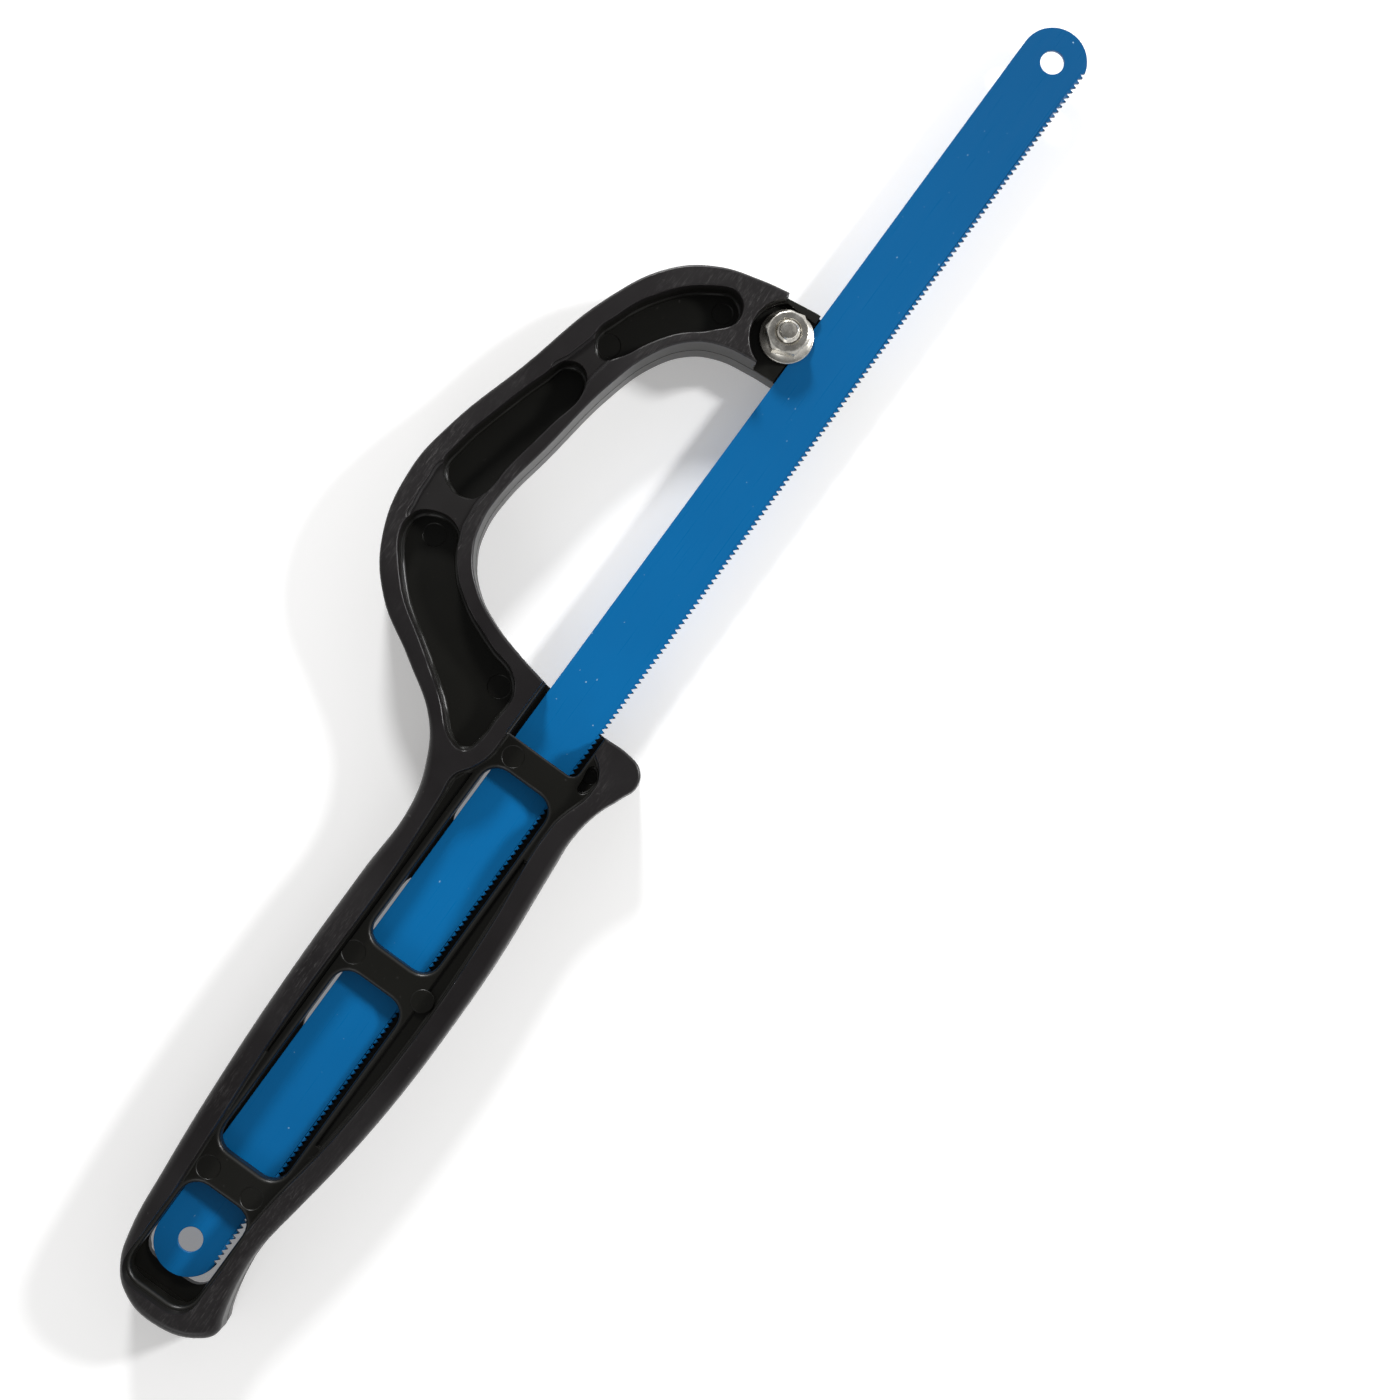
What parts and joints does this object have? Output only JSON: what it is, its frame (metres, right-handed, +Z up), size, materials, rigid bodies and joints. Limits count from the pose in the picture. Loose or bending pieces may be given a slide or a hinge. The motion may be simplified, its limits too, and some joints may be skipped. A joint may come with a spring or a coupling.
{
  "type": "small hacksaw",
  "caption": "Small hacksaw: a moulded grip and bow clamp a full-length blade with a bolt and flange nut, leaving its tip free for tight spots.",
  "frame": {"origin": "middle of the bounding box's underside: the rim plane of the side that the saw lies on", "axes": "+X along the blade from the grip to its free tip, +Y from the teeth to the back of the blade and the bow, +Z up from the side that the saw lies on to the side with the nut"},
  "size_m": [0.2696, 0.0626, 0.013],
  "materials": {
    "frame_plastic": "satin black moulded polypropylene, rim faces scuffed, recess floors darker",
    "blade_enamel": "thin blue enamel on spring steel, bare metal on the tips of the teeth",
    "zinc_steel": "bright zinc plate"
  },
  "bodies": {
    "frame": {"frame": "frame_plastic"},
    "blade": {"blade": "blade_enamel"},
    "bolt": {"clamp_bolt": "zinc_steel"},
    "nut": {"flange_nut": "zinc_steel"}
  },
  "joints": [
    {"name": "blade_slide", "type": "slide", "parent": "frame", "child": "blade", "axis": [1, 0, 0], "range_m": [-0.002, 0.085]},
    {"name": "bolt_travel", "type": "slide", "parent": "frame", "child": "bolt", "axis": [0, 0, 1], "range_m": [-0.0021, 0]},
    {"name": "nut_turn", "type": "hinge", "parent": "frame", "child": "nut", "pos_m": [0.06146, -0.00644, 0.00713], "axis": [0, 0, 1], "range_deg": [0, 1080]}
  ],
  "couplings": [
    {"joint": "nut_turn", "follows": "bolt_travel", "rad_per_m": -8976}
  ]
}
